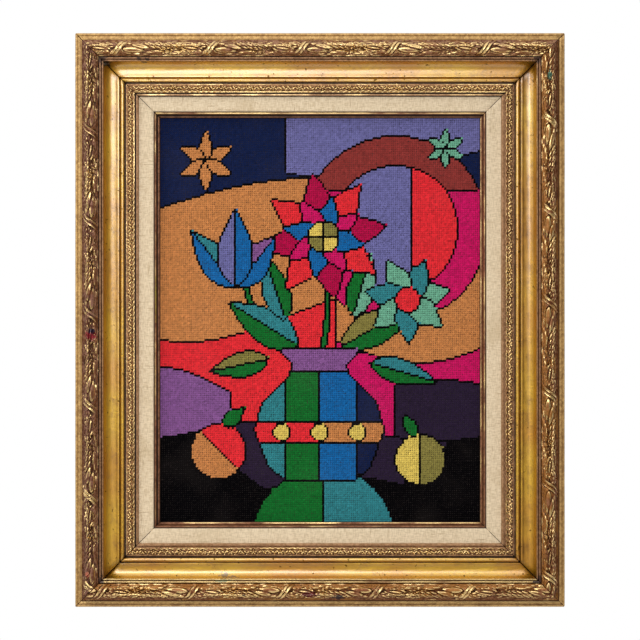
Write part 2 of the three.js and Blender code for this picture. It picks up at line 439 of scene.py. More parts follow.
print("gold finishes:", ", ".join(MATERIALS))

# %% [markdown]
# ## Bare wood, toned sides and fibre board
#
# The back of the picture shows planed softwood and a plain fibre board, and the
# frame's outer sides are toned with ochre paint. Softwood grain is long and thin, so
# its noise is squeezed across the stick: what varies slowly along X draws grain
# along X.

# %% Wood, paint and board finishes
def bare_wood(name, squeeze):
    wood = Finish(name)
    fibres = wood.noise(wood.place() * squeeze, 1, 5)
    rings = wood.noise(wood.place() * squeeze, 0.2, 2)
    colour = wood.mix(tint(196, 160, 112), tint(150, 108, 66), rings.rise(0.35, 0.65))
    colour = wood.mix(colour, tint(110, 76, 46), fibres.rise(0.52, 0.78) * 0.6)
    roughness = 0.72 + fibres * 0.12
    return wood.wear(Base_Color=colour, Roughness=roughness, Normal=wood.bump(fibres, 0.25))


def toned_side():
    paint = Finish("toned_side")
    rubbed = paint.noise(paint.place(), 60, 5).rise(0.55, 0.72)
    colour = paint.mix(tint(150, 108, 54), tint(92, 58, 32), rubbed)
    roughness = 0.6 + rubbed * 0.15
    return paint.wear(Base_Color=colour, Roughness=roughness, Normal=paint.bump(rubbed, 0.1))


def fibre_board():
    board = Finish("fibre_board")
    at = board.place()
    flecks = board.noise(at, 420, 4)
    colour = board.mix(tint(134, 98, 64), tint(98, 68, 44), flecks.rise(0.4, 0.66))
    colour = board.mix(colour, tint(84, 60, 42), board.noise(at, 9).rise(0.55, 0.8) * 0.5)
    roughness = 0.8 + flecks * 0.1
    return board.wear(Base_Color=colour, Roughness=roughness, Normal=board.bump(flecks, 0.12))


MATERIALS["level wood"] = bare_wood("bare_wood_level", (6, 240, 240))
MATERIALS["upright wood"] = bare_wood("bare_wood_upright", (240, 240, 6))
MATERIALS["toned side"] = toned_side()
MATERIALS["fibre board"] = fibre_board()
plain_parts = {"board": "fibre board"}
for side, row in SIDES.items():
    row["wood"] = ("level wood", "upright wood")[row["turns"] % 2]
    plain_parts[f"liner_{side}"] = row["wood"]
for name, finish in plain_parts.items():
    materials = bpy.data.objects[name].data.materials
    materials.clear()
    materials.append(MATERIALS[finish])
print("finished as they are:", ", ".join(plain_parts))

# %% [markdown]
# ## Sections
#
# A moulding is known by its section. Each one is drawn as a closed loop of points,
# inward and height in millimetres, from the outer edge over the face to the sight
# edge and back under. Round stretches are sampled from curves, so that reflections
# run smoothly over them, and hard corners are eased a little, as sanded wood is.

# %% Curves for sections
def bow(steps, *pulls):
    """Points on the curve from the first pull towards the last, bent by those between."""
    t = np.linspace(0, 1, steps, endpoint=False)[:, None]
    pulls = [np.array(point, float) for point in pulls]
    while len(pulls) > 1:
        pulls = [(1 - t) * near + t * far for near, far in zip(pulls, pulls[1:])]
    return pulls[0]


EASE_ROOM = 2.6
FLAT_START = 1.25


def eased(corners, ease=0.35):
    """A line through these corners, each inner one rounded, without its end.

    A rounding takes at most one part in EASE_ROOM of a line. An extra point, FLAT_START
    times as far from the corner, keeps the flats between corners flat in the light.
    """
    corners = [np.array(corner, float) for corner in corners]
    points = [corners[0][None]]
    for before, corner, after in zip(corners, corners[1:], corners[2:]):
        reach = [other - corner for other in (before, after)]
        share = [min(ease / np.linalg.norm(line), 1 / EASE_ROOM) for line in reach]
        start, end = (corner + line * part for line, part in zip(reach, share))
        flats = [(corner + line * part * FLAT_START)[None] for line, part in zip(reach, share)]
        points += [flats[0], bow(3, start, corner, end), end[None], flats[1]]
    return np.concatenate(points)


def evenly(points, count):
    """The same line in count points at equal steps."""
    walked = np.append(0, np.cumsum(np.linalg.norm(np.diff(points, axis=0), axis=1)))
    steps = np.linspace(0, walked[-1], count)
    return np.stack([np.interp(steps, walked, column) for column in points.T], axis=1)


MOULDING_OUTSIDE = np.array([(4, 0), (4, 5), (4, 10), (4, 14)])
LIP = np.concatenate([
    bow(9, (4, 15), (4, 26.1), (0, 27.8)),
    bow(6, (0, 27.8), (0, 29.5), (1.7, 29.5)),
    bow(5, (1.7, 29.5), (3.1, 29.5), (3.3, 28.5)),
    eased([(3.3, 28.5), (3.8, 28.9), (6.3, 28.9), (7.9, 30.3), (7.9, 27.5)]),
])
LEAF_SEAT_AND_FILLETS = eased([
    (7.9, 27.4), (7.9, 26.7), (28.1, 26.7), (28.1, 33), (29.1, 33), (29.1, 36), (31, 36),
    (31.7, 33.6), (32.3, 36), (34, 36), (34, 35.1),
])
HOLLOW_AND_BEAD = np.concatenate([
    bow(28, (34, 34.8), (35.2, 24.2), (41, 22.2), (50.8, 23.7)),
    eased([(50.8, 23.7), (50.8, 24.8), (52.8, 24.8), (53.6, 22), (54.3, 23.2)], ease=0.25),
    bow(8, (54.3, 23.2), (54.3, 26), (56.55, 26)),
    bow(8, (56.55, 26), (59.2, 26), (59.2, 23.2)),
])
SCROLL_SEAT_AND_SIGHT = eased([
    (59.2, 23.2), (61, 23.2), (61, 24), (71.6, 24), (71.6, 22.8), (73.3, 22.8), (73.3, 24.8),
    (75.1, 24.8), (76.5, 21.9), (76.5, 21),
])
MOULDING_BACK = np.array([(76.5, 21), (67.5, 21), (67.5, 0)])
print("hollow and bead:", len(HOLLOW_AND_BEAD), "points")

# %% [markdown]
# ## Sweeping a section along a side
#
# `stick` repeats a section at stations along one side. Both ends are cut at 45
# degrees, because each point's run is shorter the further in it lies. The last two
# stations dip a little, which draws the dark line of a real mitre.
#
# The same function measures the surface. Each point is compared with the average of
# the points around it: above that it stands proud, where gilding rubs thin, and below
# it lies hollow, where dirt stays and shade is painted. A table for each moulding adds
# dirt and painted shade, or painted highlight with a number below 0, band by band and
# stick by stick. The function also lays the texture map, one band for each stretch of
# the section, with most of its room for what shows.

# %% Meshes that ride on the frame
CREASE = np.radians(55)


def piece(name, points, faces, finishes):
    """A mesh object that rides on the frame, with its finishes."""
    mesh = bpy.data.meshes.new(name)
    mesh.from_pydata(np.reshape(points, (-1, 3)).tolist(), [], faces)
    for finish in finishes:
        mesh.materials.append(MATERIALS[finish])
    mesh.shade_smooth()
    made = bpy.data.objects.new(name, mesh)
    bpy.context.scene.collection.objects.link(made)
    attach(made, "root")
    return made


def measure(made, **fields):
    """Store one number for each of the mesh's points, under each name."""
    for name, values in fields.items():
        layer = made.data.attributes.new(name, "FLOAT", "POINT")
        layer.data.foreach_set("value", np.ravel(values).astype(np.float32))


def lay_map(made, corners):
    """Give the mesh its texture map: across and up for each corner of each face."""
    layer = made.data.uv_layers.new(name="OFBake")
    layer.data.foreach_set("uv", np.ravel(corners).astype(np.float32))


print(f"edges sharper than {np.degrees(CREASE):.0f} degrees stay hard")

# %% What stands proud, what lies hollow
WEAR_REACH = 1.6
MITRE_GRIME = ((0, 1.4), (1, 0.9))


def blurred(field, *reach):
    """The field averaged over reach cells each way, along each of its axes."""
    for axis, cells in enumerate(reach):
        edges = [(cells, cells) if a == axis else (0, 0) for a in range(field.ndim)]
        wide = np.pad(field, edges, mode="edge")
        places = np.arange(field.shape[axis])
        shifts = range(2 * cells + 1)
        field = sum(np.take(wide, places + k, axis) for k in shifts) / len(shifts)
    return field


def section_normals(section):
    ahead = np.roll(section, -1, axis=0) - np.roll(section, 1, axis=0)
    normal = np.stack([-ahead[:, 1], ahead[:, 0]], axis=1)
    return normal / np.linalg.norm(normal, axis=1, keepdims=True)


def bulge(section):
    """How far each point stands out from the average of the section round it."""
    apart = np.linalg.norm(section[:, None] - section, axis=2)
    spacing = np.linalg.norm(np.roll(section, -1, axis=0) - np.roll(section, 1, axis=0), axis=1)
    near = np.exp(-((apart / WEAR_REACH) ** 2)) * spacing
    average = near @ section / near.sum(1, keepdims=True)
    return ((section - average) * section_normals(section)).sum(1)


def dirt_and_light_on(side, dirt_and_light_table, section, count):
    """Dirt and painted light at each point of each station: by bands, and in the mitres.

    A row of the table is a band from one distance inward to another, then its amount on
    the top, right, bottom and left stick: dirt and painted shade above 0, painted
    highlight below 0.
    """
    dirt_and_shade = np.zeros((count, len(section)))
    for start, end, *amounts in dirt_and_light_table:
        band = (section[:, 0] >= start) & (section[:, 0] <= end)
        dirt_and_shade[:, band] = amounts[SIDES[side]["turns"]]
    for station, amount in MITRE_GRIME:
        dirt_and_shade[[station, -1 - station]] += amount
    return dirt_and_shade


print(f"the lip's edge stands {bulge(LIP).max():.2f} mm proud")

# %% The stick builder
MITRE_GAP = 0.01
MITRE_DIPS = ((0, 0.7), (1, 0.2))
MITRE_STEPS = (0, 0.55, 1.1)
MAP_SHARE = 0.96


def sway(along, height, wave, shift):
    """A slow wave along a stick, because no old stick or pressing is quite straight."""
    return height * np.sin(along / wave + shift)


def stations(length, step):
    """Shares of half the stick's length, evenly spaced but for the few at each mitre."""
    ends = 1 - 2 * np.array(MITRE_STEPS) / length
    middle = np.linspace(-ends[-1], ends[-1], round(length / step))
    return np.concatenate([-ends[:-1], middle, ends[-2::-1]])


def swept_faces(count, points):
    """Four-sided faces from each station to the next, then the two cut ends."""
    ring = np.arange(points)
    near = np.arange(count - 1)[:, None] * points + ring
    beside = np.arange(count - 1)[:, None] * points + np.roll(ring, -1)
    quads = np.stack([near, beside, beside + points, near + points], axis=-1).reshape(-1, 4)
    ends = ring[::-1], ring + (count - 1) * points
    return quads.tolist() + [end.tolist() for end in ends]


def map_corners(share, section, room):
    """The texture map: stations run across, the section up, the two cut ends lie on top."""
    gaps = np.linalg.norm(np.roll(section, -1, axis=0) - section, axis=1) * room
    up = np.append(0, np.cumsum(gaps) / gaps.sum()) * MAP_SHARE
    across = (share + 1) / 2
    spans, points = len(share) - 1, len(section)
    corners = np.empty((spans, points, 4, 2))
    for corner, (station, point) in enumerate(((0, 0), (0, 1), (1, 1), (1, 0))):
        corners[:, :, corner, 0] = across[station : spans + station, None]
        corners[:, :, corner, 1] = up[point : points + point]
    cap = section - section.min(0)
    cap = cap / cap.max() * (0.4, (1 - MAP_SHARE) / 2) + (0.02, (1 + MAP_SHARE) / 2)
    return np.concatenate([corners.reshape(-1, 2), cap[::-1], cap + (0.5, 0)])


def stick(name, side, stretches, step, lift, dirt_and_light_table, depth=0.9):
    """Sweep a section made of (points, finish, map room) stretches along one side.

    lift gives the relief at any place, and depth is the relief that counts as all worn.
    """
    section = np.concatenate([points for points, _, _ in stretches])
    sizes = [len(points) for points, _, _ in stretches]
    room = np.repeat([share for _, _, share in stretches], sizes)
    length = SIDES[side]["length"]
    share = stations(length, step)
    inward, height = section.T

    along = share[:, None] * (length / 2 - inward - MITRE_GAP)
    raised = lift(along, section)
    worn = bulge(section) + raised - blurred(raised, 3, 3)
    for station, dip in MITRE_DIPS:
        raised[[station, -1 - station]] -= dip * (room == 1)
    normal = section_normals(section)
    inward = inward + raised * normal[:, 0]
    height = height + raised * normal[:, 1]
    along = share[:, None] * (length / 2 - inward - MITRE_GAP)

    finishes = list(dict.fromkeys(finish for _, finish, _ in stretches))
    surface = place(side, along, inward, height)
    made = piece(name, surface, swept_faces(*along.shape), finishes)
    slots = np.repeat([finishes.index(finish) for _, finish, _ in stretches], sizes)
    slots = np.append(np.tile(slots, len(share) - 1), [slots[-1]] * 2)
    made.data.polygons.foreach_set("material_index", slots.astype(np.int32))
    made.data.set_sharp_from_angle(angle=CREASE)

    # The table's bands: dirt and painted shade above 0, painted highlight below 0.
    clean = worn / depth - dirt_and_light_on(side, dirt_and_light_table, section, len(share))
    inner = (section[:, 0] - section[:, 0].min()) / np.ptp(section[:, 0]) + 0 * along
    measure(made, proud=np.clip(clean, 0, 1), hollow=np.clip(-clean, 0, 1), inner=inner)
    lay_map(made, map_corners(share, section, room))
    return made


print("stations on a long stick:", len(stations(HEIGHT, 10)))

# %% [markdown]
# ## The gilded moulding
#
# From outside to inside: a lip with a small bead, a seat for the leaf strip, two thin
# fillets, a deep hollow that carries the light, a fillet, a bead, a seat for the
# scroll strip, and the flat sight fillet. Hand-planed wood is never quite straight,
# so the face wanders by a few hundredths of a millimetre.
#
# Dirt and painted shade draw dark lines where the moulding turns inward. The painted
# shade is darkest behind the lip on the right and bottom sticks, while their thin fillets
# and the groove at the sight edge are painted brighter than those of the other two, as
# highlight.

# %% Mouldings
MOULDING_DIRT_AND_PAINTED_LIGHT = (
    # from, to, then the dirt and painted light on the top, right, bottom and left stick
    # The lip's bead and its crown: painted shade on the bottom stick, and on the right stick's
    # crown.
    (1, 3.3, 0, 0, 1, 0),  # all of the lip's bead
    (1.4, 2.9, 0, 1, 1, 0),  # its crown
    (3.2, 3.5, 1, 1, 1, 1),  # the groove beside it
    # The lip's flat and inner edge: painted shade on the right, bottom and left sticks, painted
    # highlight on the top stick's edge and the bottom stick's flat.
    (5.6, 6.3, 0, 0, -1, 0.8),  # the lip's flat
    (6.3, 6.5, -0.3, 0, 0, 0.8),
    (6.5, 7.1, -0.3, 2.4, 3, 0.8),
    (7.1, 7.9, 0, 2.4, 3, 0.8),  # its inner edge
    (8, 28.1, 1, 1, 1, 1),  # the seat of the leaves
    # Beside the leaves and on the fillets: painted shade on the top and left sticks, painted
    # highlight on the bottom stick's fillets.
    (28.1, 29.2, 1, 0.3, 0.3, 1),
    (29.3, 31.1, 0.3, 0.2, -0.5, 0.4),  # the first thin fillet
    (31.2, 32.4, 0.6, 0.1, 0, 0.6),  # the groove between
    (32.5, 33.9, 0.3, 0.2, -0.5, 0.4),  # the second
    (34, 34.6, 0.5, 0.5, 0.5, 0.5),  # the hollow, from its top
    # In the hollow, and on the fillet and groove under it: painted shade on the right and left
    # sticks, and on the bottom stick's fillet and groove.
    (36.5, 41, 0, 0.22, 0, 0),
    (41, 43, 0, 0.22, 0, 0.24),
    (43, 50, 0, 0.34, 0, 0.24),
    (51, 52.8, 0, 0.7, 0.7, 0.4),  # the fillet under it
    (53.4, 54.2, 0, 0.4, 0.4, 0.4),
    # Past the bead: dirt and painted shade in the trench, less on the right stick.
    (59.1, 61.2, 0.5, 0.1, 0.5, 0.5),  # past the bead
    # At the sight edge: painted shade in the groove on the top and left sticks and on the top
    # stick's slope to the linen, painted highlight in the groove on the right and bottom sticks and
    # on the top stick's sight fillet.
    (71.5, 73.2, 1, -0.4, -0.8, 1),  # the groove before the sight fillet
    (73.4, 75, -0.5, 0, 0, 0),  # the sight fillet
    (75.2, 76.6, 1.6, 0, 0.2, 0),  # its slope down to the linen
)


def wander(along, section):
    inward, height = section.T
    planed = sway(along, 0.05, 37, inward / 5) + sway(along, 0.03, 11.3, inward)
    return planed * (height > 22)


for side, row in SIDES.items():
    stretches = [
        (MOULDING_OUTSIDE, "toned side", 1),
        (LIP, "lip gilding", 1),
        (LEAF_SEAT_AND_FILLETS, "washed gold", 1),
        (HOLLOW_AND_BEAD, "gilding", 1),
        (SCROLL_SEAT_AND_SIGHT, "sight gold", 1),
        (MOULDING_BACK, row["wood"], 0.2),
    ]
    name = f"gilded_moulding_{side}"
    moulding = stick(name, side, stretches, 10, wander, MOULDING_DIRT_AND_PAINTED_LIGHT)
    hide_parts(f"moulding_{side}")
    print(moulding.name, len(moulding.data.polygons), "faces")

# %% [markdown]
# ## A pressed pattern as a grid of heights
#
# Composition ornament is pressed in a carved mould, so the same stretch comes back
# every 110 mm along the leaf strip. One repeat is worked out on a fine grid, as
# heights in millimetres, and a stick's lift then reads it as often as it repeats.
#
# Motifs are laid one over another. `press` takes the distance inside a motif's
# outline and sinks a line round it, so that each leaf stands clear of what it
# crosses, just as a carver cuts round it.

# %% The pattern grid
RIM_WIDTH = 0.6
RIM_DEPTH = 0.9


class Pattern:
    """One repeat of a pressed ornament: heights over along and across, in millimetres."""

    cell = 0.2

    def __init__(self, repeat, across, ground):
        self.repeat = repeat
        self.start = across[0]
        marks = np.arange(round(repeat / self.cell)) * self.cell
        self.along, self.across = np.meshgrid(marks, np.arange(*across, self.cell), indexing="ij")
        stipple = blurred(chance.normal(0, 1, self.along.shape), 1, 1)
        self.level = ground + 0.25 * stipple

    def seen_from(self, along, across, turn):
        """Each grid point's own along and across, from a motif turned by so many degrees."""
        ahead = (self.along - along + self.repeat / 2) % self.repeat - self.repeat / 2
        up = self.across - across
        cosine, sine = np.cos(np.radians(turn)), np.sin(np.radians(turn))
        return ahead * cosine + up * sine, up * cosine - ahead * sine

    def press(self, inside, body):
        rim = RIM_DEPTH * np.exp(-((np.minimum(inside, 0) / RIM_WIDTH) ** 2))
        self.level = np.where(inside > 0, body, self.level - rim)

    def leaf(self, along, across, turn, length, width, level):
        """A plump pointed leaf with a sunken midrib."""
        forward, aside = self.seen_from(along, across, turn)
        share = np.clip(forward / length + 0.5, 0, 1)
        half = width / 2 * np.sin(np.pi * share**0.8) ** 0.8
        inside = half - abs(aside)
        plump = np.sqrt(np.clip(inside / (width / 2), 0, 1))
        rib = 0.5 * np.exp(-((aside / 0.35) ** 2)) * (width > 5)
        self.press(inside, level - rib - 1.5 * (1 - plump) ** 1.5)

    def ribbon(self, along, across, turn, length, width, level):
        """A flat band, a little sunk between its two raised edges."""
        forward, aside = self.seen_from(along, across, turn)
        inside = np.minimum(width / 2 - abs(aside), length / 2 - abs(forward))
        self.press(inside, level - 0.35 * np.cos(np.pi * aside / width) ** 4)

    def berry(self, along, across, radius, level):
        ahead, up = self.seen_from(along, across, 0)
        away = np.hypot(ahead, up) / radius
        self.press(radius * (1 - away), level - 1.3 + 1.3 * np.sqrt(np.clip(1 - away**2, 0, 1)))

    def read(self, along, across):
        """Heights at any places, blended between the grid's own."""
        row = along / self.cell % len(self.level)
        column = np.clip((across - self.start) / self.cell, 0, self.level.shape[1] - 1.01)
        first, left = np.floor(row).astype(int), np.floor(column).astype(int)
        second = (first + 1) % len(self.level)
        first = first % len(self.level)
        down, aside = row - np.floor(row), column - left
        near = self.level[first, left] * (1 - aside) + self.level[first, left + 1] * aside
        far = self.level[second, left] * (1 - aside) + self.level[second, left + 1] * aside
        return near * (1 - down) + far * down


# %% [markdown]
# ## The leaf strip
#
# Going clockwise from a crossed ribbon: four smooth laurel leaves, a fan of narrow
# leaves with a bud, a second fan, then an almond bud between two leaves, and
# the next ribbon. Small leaves fill the outer edge all along. Levels are heights
# against the strip's domed face, so the tallest leaves just reach it.

# %% One repeat of the leaf strip
LEAF_REPEAT = 110.5
LEAF_GROUND = -2.1


def laurel_pattern():
    laurel = Pattern(LEAF_REPEAT, (-20, 15), LEAF_GROUND)
    for k in range(6):
        laurel.leaf(8 + 18.4 * k, -13, 10 - 22 * (k % 2), 17, 5.2, -0.9)
        laurel.leaf(16 + 18.4 * k, -9.6, -24, 10, 3.6, -0.8)
    for k in range(7):
        laurel.leaf(5 + 15.8 * k, 11.2, -12, 15, 4.4, -0.4)
    for k in range(3):
        laurel.leaf(49 + 5.6 * k, 8.2, -22, 14, 3.8, -0.5)
    for k in range(5):
        laurel.leaf(38 + 6.0 * k, -3.4, 34 - k, 19, 4.2, -0.3)
    for k in range(2):
        laurel.leaf(72 + 8.5 * k, 8.4, -16, 19, 4.8, -0.5)
    for k in range(3):
        laurel.leaf(63 + 7.2 * k, -3.6 + 1.3 * k, 25, 20, 4.8, -0.2)
    laurel.berry(60, 6.4, 2.4, -0.2)
    laurel.berry(55, 9, 1.8, -0.4)
    return laurel


def add_bud(laurel):
    """A long almond bud in its husk, with a row of scales and a leaf on either side."""
    for k in range(5):
        laurel.leaf(80 + 4.6 * k, 5.2, 28, 9, 3.4, -0.5)
        laurel.leaf(78 + 4.6 * k, -4.8, -24, 9, 3.4, -0.5)
    laurel.leaf(88, 0.4, 4, 28, 10.5, -0.1)
    laurel.leaf(88, 0.4, 4, 22, 6.4, -1.3)
    laurel.leaf(87, 0.2, 10, 17, 4.2, -0.3)
    laurel.leaf(96, 8.8, -7, 21, 5.6, -0.35)
    laurel.leaf(101, -7.4, 20, 16, 5.4, -0.5)


def add_ribbon_and_leaves(laurel):
    laurel.leaf(45, 7.4, -5, 23, 7.6, -0.3)
    laurel.leaf(9.5, 9, 12, 20, 5.6, -0.5)
    laurel.leaf(14, -8.6, 8, 23, 6.4, -0.45)
    laurel.leaf(27, -2, 14, 23, 6.6, -0.1)
    laurel.leaf(18.5, 3.2, 6, 27, 8.4, 0)
    laurel.ribbon(0.5, 0, 56, 34, 4.6, -0.9)
    for aside in (-2.3, 2.3):
        laurel.ribbon(aside, 0, -56, 38, 3.4, 0.05)


laurel = laurel_pattern()
add_bud(laurel)
add_ribbon_and_leaves(laurel)
print(f"leaf repeat {LEAF_REPEAT} mm, relief {np.ptp(laurel.level):.1f} mm deep")

# %% [markdown]
# ## Laying the leaf strips
#
# The strip bends round a dome, so `across` is walked along the section from its
# crest. The pressing is a little uneven: whole stretches are fuller or flatter, and
# the pattern drifts slightly. Its bronze has aged to three tints. Painted shade darkens
# both flanks of the dome, more on the left and right strips, so the top and bottom
# strips show the most gold.

# %% Leaf strips
LEAF_STRIP = {"from": 8.2, "to": 27.8, "outer": 30.5, "inner": 36.5, "crest": 45, "foot": 27}
LEAF_DIRT_AND_PAINTED_LIGHT = (
    # Painted shade on both flanks of the dome, most on the left and right strips, and painted
    # highlight on the crest of the top and bottom strips.
    (8.2, 10.5, 0.32, 0.48, 0.34, 0.52),
    (10.5, 12.6, 0.07, 0.23, 0.09, 0.27),
    (12.6, 20.8, -0.08, 0.08, -0.06, 0.12),
    (20.8, 24.5, 0.04, 0.2, 0.06, 0.24),
    (24.5, 27.8, 0.27, 0.43, 0.29, 0.47),
)
EDGE_FADE, FOOT_CLEARANCE, PRESSED_IN = 0.6, 0.2, 0.1
# The finish of the top, right, bottom and left strip.
LEAF_BRONZE = ("leaf bronze", "amber leaf bronze", "amber leaf bronze", "mauve leaf bronze")


def dome(strip, count):
    """The strip's face from its outer edge over the crest to its inner edge."""
    start, end, crest = strip["from"], strip["to"], strip["crest"]
    middle, steepness = (start + end) / 2, (end - start) / 9
    outer_half = bow(40, (start, strip["outer"]), (start + steepness, crest), (middle, crest))
    inner_half = bow(40, (middle, crest), (end - steepness, crest), (end, strip["inner"]))
    return evenly(np.concatenate([outer_half, inner_half, [(end, strip["inner"])]]), count)


def relief(pattern, strip, side, first, fullness):
    """A stick's lift that reads the pattern over the strip's face."""
    half = SIDES[side]["length"] / 2
    middle = (strip["from"] + strip["to"]) / 2
    uneven = SIDES[side]["turns"]

    def lift(along, section):
        steps = np.linalg.norm(np.diff(section, axis=0), axis=1)
        walked = np.append(0, np.cumsum(steps))
        crest = np.argmin(abs(section[:, 0] - middle) - section[:, 1])
        from_ribbon = along + half - first + sway(along, 0.5, 61, uneven)
        across = walked - walked[crest] + sway(along, 0.35, 43, 2 * uneven)
        height = pattern.read(from_ribbon, across) * (1 + sway(along, 0.14, 29, 3 * uneven))
        shown = section[:, 1] > strip["foot"] + FOOT_CLEARANCE
        edge = np.minimum(section[:, 0] - strip["from"], strip["to"] - section[:, 0])
        return (height * fullness - PRESSED_IN) * shown * np.clip(edge / EDGE_FADE, 0, 1)

    return lift


def ornament(name, side, strip, count, step, finish, lift, dirt_and_light_table):
    """A pressed strip: a domed face that carries the relief, on a flat foot."""
    foot = np.array([(strip["to"], strip["foot"]), (strip["from"], strip["foot"])])
    stretches = [(dome(strip, count), finish, 1), (foot, finish, 0.1)]
    return stick(name, side, stretches, step, lift, dirt_and_light_table, depth=0.7)


for (side, row), bronze in zip(SIDES.items(), LEAF_BRONZE):
    lift = relief(laurel, LEAF_STRIP, side, row["first_ribbon"], 1)
    name = f"pressed_leaves_{side}"
    strip = ornament(name, side, LEAF_STRIP, 44, 0.84, bronze, lift, LEAF_DIRT_AND_PAINTED_LIGHT)
    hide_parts(f"leaf_strip_{side}")
    print(strip.name, 2 * len(strip.data.polygons), "triangles")

# %% [markdown]
# ## The scroll strip
#
# A small running ornament lies next to the sight edge: slanting leaf strokes that
# cross like a zigzag, a five-petalled flower now and then, and a wavy rim inside.

# %% One repeat of the scroll strip
SCROLL_STRIP = {"from": 61.3, "to": 71.3, "outer": 25.2, "inner": 27.4, "crest": 28.4, "foot": 24.3}
SCROLL_REPEAT = 60
SCROLL_GROUND = -1.5
# Painted shade on the outer band of the right and bottom strips and on their wavy rim, painted
# highlight on the top strip's rim.
SCROLL_DIRT_AND_PAINTED_LIGHT = ((61.3, 63.2, 0.3, 0.9, 0.8, 0.3), (69.7, 71.3, -0.2, 0.4, 0.3, 0))


def scroll_pattern():
    scrolls = Pattern(SCROLL_REPEAT, (-8, 8), SCROLL_GROUND)
    stroke = SCROLL_REPEAT / 9
    for k in range(9):
        rising = 1 - 2 * (k % 2)
        along = stroke * k + chance.uniform(-0.7, 0.7)
        scrolls.leaf(along, -0.8, 50 * rising, 8.6, 2.5, -0.1)
        scrolls.leaf(along + 3.3, 0.2, -42 * rising, 6.6, 2.2, -0.2)
        scrolls.berry(along + 1.6, -3.1 + 0.8 * rising, 0.9, -0.4)
    for middle in (13, 41):
        for turn in range(20, 380, 72):
            ahead, up = 2.4 * np.cos(np.radians(turn)), 2.0 * np.sin(np.radians(turn))
            scrolls.leaf(middle + ahead, up - 0.5, turn, 4.6, 2.6, 0.1)
        scrolls.berry(middle, -0.5, 1.1, 0.3)
    rim = 4.3 + 0.45 * np.cos(2 * np.pi * scrolls.along / stroke)
    inside = 0.8 - abs(scrolls.across - rim)
    scrolls.press(inside, -0.1 - 0.5 * (1 - np.clip(inside, 0, 1)))
    return scrolls


scrolls = scroll_pattern()
for side, row in SIDES.items():
    lift = relief(scrolls, SCROLL_STRIP, side, row["first_ribbon"] / 3, 0.85)
    name = f"pressed_scrolls_{side}"
    strip = ornament(name, side, SCROLL_STRIP, 27, 1, "scroll bronze", lift, SCROLL_DIRT_AND_PAINTED_LIGHT)
    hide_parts(f"scroll_strip_{side}")
    print(strip.name, 2 * len(strip.data.polygons), "triangles")

# %% [markdown]
# ## Linen and slip
#
# The liner is covered in a coarse natural linen, one strip glued over each side. Its
# yarns run along and across, and here and there one is thicker, a slub, or a little
# darker. Noise squeezed in one direction and then in the other draws both sets of
# yarns, and the strips are mitred, so on level and upright sides the same weave runs
# straight with the frame.
#
# The slip is a thin gilt stick that steps down to the needlework in two ridges. Its
# low ridge carries painted highlight on the right and at the bottom, and painted shadow
# on the top.

# %% Linen finish
def linen():
    cloth = Finish("natural_linen", Sheen_Weight=0.12, Sheen_Roughness=0.5)
    at = cloth.place()
    level_yarns = cloth.noise(at * (150, 150, 1000), 1, 3)
    upright_yarns = cloth.noise(at * (1000, 150, 150), 1, 3)
    upright_slubs = cloth.noise(at * (420, 60, 42), 1, 3)
    slubs = upright_slubs.most(cloth.noise(at * (42, 60, 420), 1, 3)).rise(0.62, 0.76)
    stain = cloth.noise(at, 22, 4).rise(0.5, 0.72)
    weave = level_yarns + upright_yarns
    colour = cloth.mix(tint(238, 217, 184), tint(209, 186, 151), weave.rise(0.8, 1.25))
    colour = cloth.mix(colour, tint(196, 168, 128), slubs * 0.55)
    colour = cloth.mix(colour, tint(190, 164, 122), stain * 0.35)
    # Painted shade along the linen's turned-down edge and under the moulding's sight edge.
    dirt_and_shade = cloth.attribute("hollow").rise(0.1, 1) * 0.9
    return cloth.wear(
        Base_Color=cloth.mix(colour, tint(70, 46, 26), dirt_and_shade),
        Roughness=0.86 + weave * 0.05,
        Normal=cloth.bump(weave + slubs * 1.5, 0.22),
    )


MATERIALS["linen"] = linen()

# %% Linen strips
# Painted shade under the moulding's sight edge and along the linen's turned-down edge at the slip.
LINEN_PAINTED_SHADE = ((68, 76.5, 0.8, 0.8, 0.8, 0.8), (93.8, 95, 1.6, 1.6, 1.6, 1.6))
LINEN_CUT = {"width": 0.0325, "lost_to_mitres": 0.16}
LINEN_FRONT = 20.7

# Flat under the moulding and over the liner, then turned down at the sight edge.
inward = np.append([68, 75, 76.6, 77.1], np.linspace(77.8, 91.5, 10))
LINEN_FACE = np.concatenate([
    np.stack([inward, np.full(len(inward), LINEN_FRONT)], axis=1),
    bow(8, (92, LINEN_FRONT), (94.8, LINEN_FRONT), (94.8, 17.9)),
    [(94.8, 17.9), (94.8, 15.9)],
])
LINEN_BACK = np.concatenate([
    [(93.8, 15.9)], bow(5, (93.8, 17.9), (93.8, 19.7), (92, 19.7)), [(92, 19.7), (68, 19.7)],
])


def slack(along, section):
    """Glued cloth lies nearly flat, with the faintest swells."""
    inward, height = section.T
    swell = sway(along, 0.06, 53, inward / 6) + sway(along, 0.04, 19, -inward / 3)
    return swell * (height > LINEN_FRONT - 0.1) * (inward > 78)


for side, row in SIDES.items():
    stretches = [(LINEN_FACE, "linen", 1), (LINEN_BACK, "linen", 0.2)]
    strip = stick(f"linen_cover_{side}", side, stretches, 10.0, slack, LINEN_PAINTED_SHADE)
    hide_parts(f"linen_{side}")
    flat = (LINEN_CUT["width"], row["length"] * MM - LINEN_CUT["lost_to_mitres"])
    print(strip.name, "cut", [round(size, 3) for size in flat])

